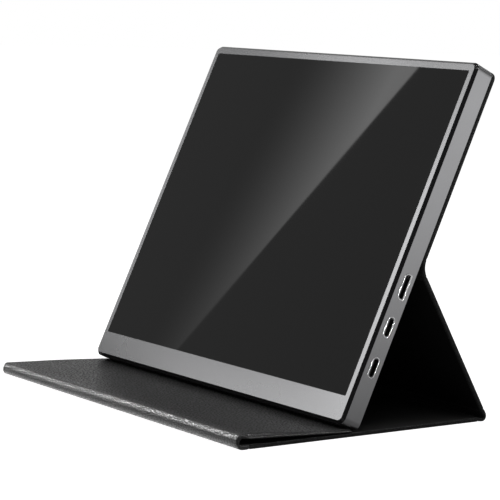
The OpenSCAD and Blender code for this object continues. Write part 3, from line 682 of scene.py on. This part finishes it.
# How far the front fold is lifted at x: a curve through its left end, middle and right end, and a ripple.
def foldLift(x):
    t = np.clip(x / coverHalf, -1, 1)
    low, middle, high = frontFold["liftLeft"], frontFold["liftMiddle"], frontFold["liftRight"]
    bend, slope = (high + low) / 2 - middle, (high - low) / 2
    ripple = frontFold["ripple"] * np.sin(frontFold["rippleTurn"] * t + frontFold["ripplePhase"])
    return middle + slope * t + bend * np.abs(t) ** frontFold["liftPower"] + ripple


# The flap's share of that lift: all of it at the fold, none beyond reach.
def flapLift(s, x):
    return foldLift(x) * (1 - smoothStep(s / frontFold["reach"]))


# The fold's share: none on the base's tail, all of it on the flap's.
def noseLift(s, x):
    start = frontFold["liftFrom"]
    return foldLift(x) * smoothStep((s - start) / (noseLength - 2 * start))


# The side edges of the flap hang a little near the fold.
flapHang = sideDrop(frontFold["edgeDrop"], lambda s: 1 - smoothStep(s / frontFold["reach"]))


# The flap gets thinner towards its free end, so that it stays clear of the base.
def flapThin(s, x):
    return flapShape["thinner"] * smoothStep((s - flapRun + flapShape["thinFrom"]) / flapShape["thinOver"])


# How far the left edge is drawn in: on the flap evenly less to its tip, on the fold also by half a sine.
def flapDraw(s):
    return frontFold["flapIn"] * (1 - s / flapRun)


def noseDraw(s):
    return (frontFold["drawnIn"] * np.sin(np.clip(s / noseLength, 0, 1) * math.pi)
            + frontFold["flapIn"] * smoothStep(s / noseLength))


# The inner side is fuller where the base runs into the fold, and evens out on a smooth step over reach.
def fuller(reach):
    return lambda s, x: -frontFold["fuller"] * (1 - smoothStep(s / reach))


baseFuller, noseFuller = fuller(frontFold["fullerReach"]), fuller(noseLength)


# A smooth step over the fold's last stretch, before the flap.
def noseEnd(s):
    return smoothStep((s / noseLength - frontFold["endFrom"]) / frontFold["endOver"])


# The roll along the fold's top: a bell in s, higher towards the right on a smooth step.
def noseRoll(s, x):
    share = smoothStep((x / coverHalf + 1) / 2)
    high = frontFold["rollLeft"] + (frontFold["rollRight"] - frontFold["rollLeft"]) * share
    return high * bell(s - frontFold["rollAt"] * noseLength, frontFold["rollWidth"])


# The heel swells from the base's thickness to the padded leg's, with a bell at its middle.
def heelRise(s, x):
    return (cover["padded"] * smoothStep(s / heelLength)
            + heelShape["roll"] * bell(s - 0.5 * heelLength, heelShape["rollWidth"]))


coverPanel("coverBase", "base", ("base_panel_skin", "base_panel_board"), basePlane, cover["panel"], 0.0,
           sink=together(liningRecess(baseLength), baseFuller))
# The base's lining takes the lighter copy of the cloth, painted light.
coverLining("baseLining", "base", ("base_panel_lining",), basePlane, cover["panel"], sink=baseFuller,
            finish=paintedLightBaseLining)
coverPanel("coverLeg", "leg", ("leg_panel_skin", "leg_panel_board"), legPlane, cover["panel"],
           legStartsAt, rise=together(padded, leatherWave(*wave["leg"])), sink=liningRecess(legRun))
coverLining("legLining", "leg", ("leg_panel_lining",), legPlane, cover["panel"])
coverPanel("coverBack", "monitor", ("back_panel_skin", "back_panel_board"), backPlane, cover["back"],
           backStartsAt, freeEnd=True, corner=backShape["corner"], grooved=(1, 0),
           rise=together(padded, leatherWave(*wave["back"])))
coverPanel("coverFlap", "flap", ("flap_panel_skin", "flap_panel_board"), flapPlane, cover["flap"],
           -noseLength, sense=-1, freeEnd=True, corner=flapShape["corner"], grooved=(0, 0),
           rise=together(flapLift, sideDrop(pinch["depth"]), flapHang, leatherWave(*wave["flap"])),
           sink=together(liningRecess(flapRun), flapLift, flapHang, flapThin), drawLeft=flapDraw)
coverLining("flapLining", "flap", ("flap_panel_lining",), flapPlane, cover["flap"],
            corner=flapShape["corner"], sink=together(flapLift, flapHang, flapThin))
print("panels made")

foldPiece("heelFold", "heel_strip", heelLine, heelNormal,
          (cover["panel"], cover["panel"]), baseLength, 1,
          rise=heelRise)
foldPiece("creaseFold", "crease_strip", creaseLine, creaseNormal,
          (cover["panel"], cover["back"]), creaseStartsAt, 1,
          rise=padded)
foldPiece("noseFold", "nose_strip", noseLine, noseNormal,
          (cover["panel"], cover["flap"]), 0.0, -1,
          middle=cover["frontFold"], grooved=(1, 0),
          tail=frontFold["tail"], drawLeft=noseDraw,
          sink=together(noseLift, noseFuller, sideDrop(frontFold["edgeDrop"], noseEnd)),
          rise=together(noseLift, noseRoll, sideDrop(pinch["depth"], noseEnd),
                        sideDrop(frontFold["edgeDrop"], noseEnd)))
print("folds made")


# A polished bead round each socket's opening. Its section is an ellipse, half wide to each side of the
# opening's outline and proud of the wall. A usb or video size is length and height.
rims = dict(half=0.27 * mm, proud=0.1 * mm, usb=(9.1 * mm, 3.5 * mm), video=(11.5 * mm, 3.5 * mm),
            videoCut=0.3, outlinePoints=96, beadPoints=16, uvStep=(0.0001, 0.0003))


def evenPlaces(total):
    return np.arange(rims["outlinePoints"]) / rims["outlinePoints"] * total


# Points round a straight slot with half-round ends, evenly spread, with the way out at each.
def slotOutline(length, high):
    r = high / 2
    run, arc = length - high, math.pi * high / 2
    t = evenPlaces(2 * run + 2 * arc)
    a = np.clip(t - run / 2, 0, arc) / r + np.clip(t - run * 1.5 - arc, 0, arc) / r
    flat = (np.clip(t, 0, run / 2) - np.clip(t - run / 2 - arc, 0, run)
            + np.clip(t - run * 1.5 - 2 * arc, 0, run / 2))
    return np.stack([flat + r * np.sin(a), r * -np.cos(a)], -1), np.stack([np.sin(a), -np.cos(a)], -1)


# Points round a polygon, evenly spread, pulled onto a smooth line, with the way out at each.
def polygonOutline(corners):
    corners = np.array(corners)
    closed = np.concatenate([corners, corners[:1]])
    reach = travelAlong(closed)
    line = np.stack([np.interp(evenPlaces(reach[-1]), reach, closed[:, k]) for k in (0, 1)], -1)
    line = (np.roll(line, 1, 0) + 2 * line + np.roll(line, -1, 0)) / 4
    step = np.roll(line, -1, 0) - np.roll(line, 1, 0)
    out = np.stack([step[:, 1], -step[:, 0]], -1)
    out *= np.sign((out * line).sum()) / np.linalg.norm(out, axis=1)[:, None]
    return line, out


# The bead's ellipse carried round an outline on the casing's right wall, about the node's middle.
def portRim(name, node, line, out):
    low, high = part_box(node)
    centre = np.array([(low.y + high.y) / 2, (low.z + high.z) / 2])
    turn = np.linspace(0, 2 * math.pi, rims["beadPoints"] + 1)[:-1]
    away = line[:, None, :] + rims["half"] * np.cos(turn)[None, :, None] * out[:, None, :]
    flat = centre + away[..., :1] * upDir + away[..., 1:] * backDir
    lift = np.broadcast_to(high.x + rims["proud"] * np.sin(turn), flat.shape[:2])
    points = np.concatenate([lift[..., None], flat], -1)
    rows, columns = flat.shape[:2]
    uvs = np.stack(np.broadcast_arrays(np.arange(columns + 1) * rims["uvStep"][0],
                                       np.arange(rows + 1)[:, None] * rims["uvStep"][1]), -1)
    piece = meshFromRings(name, points, uvs, "socket_metal", closed=True)
    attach(piece, "monitor")


usbLine = slotOutline(*rims["usb"])
halfLong, halfDeep = rims["video"][0] / 2, rims["video"][1] / 2
cut = rims["videoCut"] * rims["video"][1]
videoLine = polygonOutline([(-halfLong, halfDeep), (-halfLong, -halfDeep + cut),
                            (-halfLong + cut, -halfDeep), (halfLong - cut, -halfDeep),
                            (halfLong, -halfDeep + cut), (halfLong, halfDeep)])
portRim("usbRimLower", "usb_c_socket_lower", *usbLine)
portRim("usbRimUpper", "usb_c_socket_upper", *usbLine)
portRim("videoRim", "mini_hdmi_socket", *videoLine)
print("socket rims made")


# A flat card through four corners, with the texture's place at each.
def stageCard(name, corners, places, material):
    mesh = bpy.data.meshes.new(name)
    mesh.from_pydata([tuple(corner) for corner in corners], [], [(0, 1, 2, 3)])
    mesh.uv_layers.new(name="place").data.foreach_set("uv", np.array(places, np.float32).ravel())
    mesh.materials.append(material)
    card = bpy.data.objects.new(name, mesh)
    scene.collection.objects.link(card)
    return card


# How far a direction or place lies along a way.
def alongWay(tree, vector, way):
    return vectorNode(tree, "DOT_PRODUCT", {0: vector, 1: way})["Value"]


def isCameraRay(tree):
    return tree.nodes.new("ShaderNodeLightPath").outputs["Is Camera Ray"]


# The sky is white to the camera. For light and gloss it goes from the horizon's level up to the zenith's.
# The horizon is brighter at the right and back, and a soft glow stands at the left.
sky = dict(
    horizon=0.06, horizonRight=0.9, rightWay=(0.8, 0.6, 0.0), rightEdge=(0.2, 1.0), zenith=0.07,
    top=0.35, leftGlow=0.45, leftWay=(-0.88, 0.42, 0.2), leftEdge=(0.8, 0.97),
)


def makeWorld(look):
    world = bpy.data.worlds.new("studio")
    scene.world = world
    world.use_nodes = True
    tree = world.node_tree
    background = tree.nodes["Background"]
    way = coordinates(tree, "Generated")
    horizon = spread(tree, alongWay(tree, way, look["rightWay"]), look["horizon"], look["horizonRight"],
                     *look["rightEdge"])
    rise = addNode(tree, "ShaderNodeMapRange", {"Value": axesOf(tree, way)[2], "From Max": look["top"]},
                   interpolation_type="SMOOTHSTEP").outputs[0]
    glow = spread(tree, alongWay(tree, way, look["leftWay"]), 0.0, look["leftGlow"], *look["leftEdge"])
    level = mathNode(tree, "ADD", mixColour(tree, rise, horizon, grey(look["zenith"])), glow)
    tree.links.new(mixColour(tree, isCameraRay(tree), level, grey(1.0)), background.inputs["Color"])


# The floor is near white to the camera. Gloss and bounced light see painted shade and light on it: darker the
# nearer it is to the object and on the left, and a painted bright strip along the front fold, between frontEdge
# and frontBack.
floorLook = dict(
    grey=0.5, glow=0.97, near=0.05, far=1.2, fade=1.3, left=0.15, leftWay=(-0.8, -0.6, 0.0),
    leftEdge=(0.1, 0.35), front=1.9, frontRight=(0.09, 0.1), frontBack=(-0.066, -0.05),
    frontEdge=(-0.0732, -0.0687), half=6, below=0.1 * mm,
)


def makeFloor(look):
    material, tree, shader = newMaterial("paleFloor", Roughness=1.0, Specular_IOR_Level=0.0)
    shader.inputs["Base Color"].default_value = grey(look["grey"])
    lit = addNode(tree, "ShaderNodeAddShader", {0: shader.outputs[0], 1: emission(tree, look["glow"])})
    place = coordinates(tree, "Object")
    away = vectorNode(tree, "LENGTH", {0: place})["Value"]
    # Painted shade for gloss: darker near the object and on the left.
    fade = mathNode(tree, "POWER", math.e, product(tree, away, -1 / look["fade"]))
    level = mathNode(tree, "MULTIPLY_ADD", fade, look["near"] - look["far"], look["far"])
    leftward = alongWay(tree, place, look["leftWay"])
    level = product(tree, level, spread(tree, leftward, 1.0, look["left"], *look["leftEdge"]))
    x, y = axesOf(tree, place)[:2]
    # A painted bright strip along the front fold.
    front = product(tree, spread(tree, y, 1.0, 0.0, *look["frontBack"]),
                    spread(tree, y, 0.0, 1.0, *look["frontEdge"]),
                    spread(tree, x, 1.0, 0.0, *look["frontRight"]))
    dim = emission(tree, mixColour(tree, front, level, grey(look["front"])))
    both = addNode(tree, "ShaderNodeMixShader", {0: isCameraRay(tree), 1: dim, 2: lit.outputs[0]})
    tree.links.new(both.outputs[0], tree.nodes["Material Output"].inputs["Surface"])
    half, z = look["half"], -look["below"]
    stageCard("floor", [(-half, -half, z), (half, -half, z), (half, half, z), (-half, half, z)],
              [(0, 0), (1, 0), (1, 1), (0, 1)], material)


# The card that the screen and its rim reflect, drawn in metres across (u) and up (v) from the middle of
# the casing's foot. Over the glass it is dark, and brightens from the left up to a slanting edge. Beyond
# the glass it follows the darker of two slopes, with a bright strip at the left and a window at the
# right, and is dimmer at the top.
reflection = dict(
    distance=0.2, left=-0.25, right=0.25, low=-0.04, high=0.3,
    glassHalf=(0.0925, 0.0945), glassMiddle=0.0858, glassHigh=(0.0755, 0.0775),
    dark=0.295, edgeTop=(0.0588, 0.1601), edgeLow=(-0.0323, 0.0111), edgeSoft=0.0006, lean=0.2,
    startAt=-0.062, endAt=0.013, bright=1.75, power=2.1,
    rimMiddle=0.7, rimSlope=0.9, leftMiddle=0.82, leftSlope=9.5, rimLeast=0.1,
    stripAt=-0.113, stripHalf=(0.012, 0.015), stripFoot=(0.008, 0.014), stripLight=1.2,
    topDim=0.54, topFrom=(0.15, 0.17),
    windowFrom=0.094, windowSide=0.01, windowFoot=-0.005, windowTop=0.125, windowEnd=0.03,
    windowLight=0.8,
)


# From light to nothing, as the distance of value from middle goes from near to far.
def nearTo(tree, value, middle, near, far, light=1.0):
    gap = mathNode(tree, "ABSOLUTE", mathNode(tree, "SUBTRACT", value, middle))
    return spread(tree, gap, light, 0.0, near, far)


def glassLight(tree, look, u, v):
    (topU, topV), (lowU, lowV) = look["edgeTop"], look["edgeLow"]
    slope = (topU - lowU) / (topV - lowV)
    edge = mathNode(tree, "MULTIPLY_ADD", v, slope, lowU - slope * lowV)
    past = mathNode(tree, "SUBTRACT", edge, u)
    lit = spread(tree, past, 0.0, 1.0, -look["edgeSoft"], look["edgeSoft"])
    leaned = mathNode(tree, "MULTIPLY_ADD", v, -look["lean"], u)
    ramp = mathNode(tree, "POWER", spread(tree, leaned, 0.0, 1.0, look["startAt"], look["endAt"]),
                    look["power"])
    return mathNode(tree, "ADD", product(tree, lit, ramp, look["bright"]), look["dark"])


def rimLight(tree, look, u, v):
    light = mathNode(tree, "MINIMUM",
                     mathNode(tree, "MULTIPLY_ADD", u, look["rimSlope"], look["rimMiddle"]),
                     mathNode(tree, "MULTIPLY_ADD", u, look["leftSlope"], look["leftMiddle"]))
    light = mathNode(tree, "MAXIMUM", light, look["rimLeast"])
    strip = product(tree, nearTo(tree, u, look["stripAt"], *look["stripHalf"], light=look["stripLight"]),
                    spread(tree, v, 0.0, 1.0, *look["stripFoot"]))
    light = mathNode(tree, "ADD", light, strip)
    light = product(tree, light, spread(tree, v, 1.0, look["topDim"], *look["topFrom"]))
    start, low, high = look["windowFrom"], look["windowFoot"], look["windowTop"]
    window = product(tree, spread(tree, v, 0.0, 1.0, low, low + look["windowEnd"]),
                     spread(tree, v, 1.0, 0.0, high - look["windowEnd"], high),
                     spread(tree, u, 0.0, look["windowLight"], start, start + look["windowSide"]))
    return mathNode(tree, "ADD", light, window)


def makeReflection(look):
    material = bpy.data.materials.new("reflectionCard")
    material.use_nodes = True
    tree = material.node_tree
    u, v = axesOf(tree, coordinates(tree, "UV"))[:2]
    onGlass = product(tree, nearTo(tree, u, 0.0, *look["glassHalf"]),
                      nearTo(tree, v, look["glassMiddle"], *look["glassHigh"]))
    total = mathNode(tree, "ADD", product(tree, glassLight(tree, look, u, v), onGlass),
                     product(tree, rimLight(tree, look, u, v), mathNode(tree, "SUBTRACT", 1.0, onGlass)))
    tree.links.new(emission(tree, total), tree.nodes["Material Output"].inputs["Surface"])
    # Seen from the camera's mirror image in the glass, the card covers the same view as its drawing does.
    eye, out = np.array(camera.matrix_world.translation), np.array([0, -backDir[0], -backDir[1]])
    origin = np.array([0, *foot])
    height = (eye - origin) @ out
    mirrored = eye - 2 * height * out
    places = [(look["left"], look["low"]), (look["right"], look["low"]),
              (look["right"], look["high"]), (look["left"], look["high"])]
    drawing = [origin + np.array([a, *(b * upDir)]) for a, b in places]
    corners = [p + (p - mirrored) * look["distance"] / height for p in drawing]
    card = stageCard("reflectionCard", corners, places, material)
    card.visible_camera = card.visible_diffuse = card.visible_shadow = card.visible_transmission = False


# Softboxes: lengths in metres, power in watts, and lean, the turn about the box's own axis, in degrees.
# With only, a box lights just those pieces, and with glossOnly just their gloss.
softboxes = dict(
    topSoftbox=dict(place=(0.25, -0.35, 1.5), target=(0, 0, 0.05), size=(1.2, 1.2), energy=10.0),
    rimSoftbox=dict(place=(0.25, 0.9, 1.2), target=(0, 0, 0.05), size=(0.6, 0.6), energy=4.0),
    foldSoftbox=dict(place=(-0.56, -0.38, 0.34), target=(-0.016, 0.101, 0.154), size=(0.92, 0.15),
                     energy=12.5, lean=-47, only=("noseFold",), glossOnly=True),
    sideSoftbox=dict(place=(0.65, 0.62, 0.7), target=(0.096, -0.04, 0), size=(0.25, 0.25),
                     energy=10.0, only=("coverFlap", "noseFold"), glossOnly=True),
    portSoftbox=dict(place=(1.0, -0.6, 0.35), target=(0.096, 0, 0.05), size=(0.8, 0.8), energy=30.0,
                     only=("usbRimLower", "usbRimUpper", "videoRim")),
)


def softbox(name, place, target, size, energy, lean=0, only=(), glossOnly=False):
    data = bpy.data.lights.new(name, "AREA")
    data.shape = "RECTANGLE"
    data.size, data.size_y, data.energy = *size, energy
    data.cycles.use_multiple_importance_sampling = False
    light = bpy.data.objects.new(name, data)
    scene.collection.objects.link(light)
    light.location = place
    light.rotation_euler = (Vector(target) - Vector(place)).to_track_quat("-Z", "Y").to_euler()
    light.rotation_euler.rotate_axis("Z", math.radians(lean))
    light.visible_diffuse = not glossOnly
    if only:
        receivers = bpy.data.collections.new(name + "Pieces")
        for piece in only:
            receivers.objects.link(bpy.data.objects[piece])
        light.light_linking.receiver_collection = receivers


makeWorld(sky)
makeFloor(floorLook)
makeReflection(reflection)
for name, setting in softboxes.items():
    softbox(name, **setting)
print("studio ready")
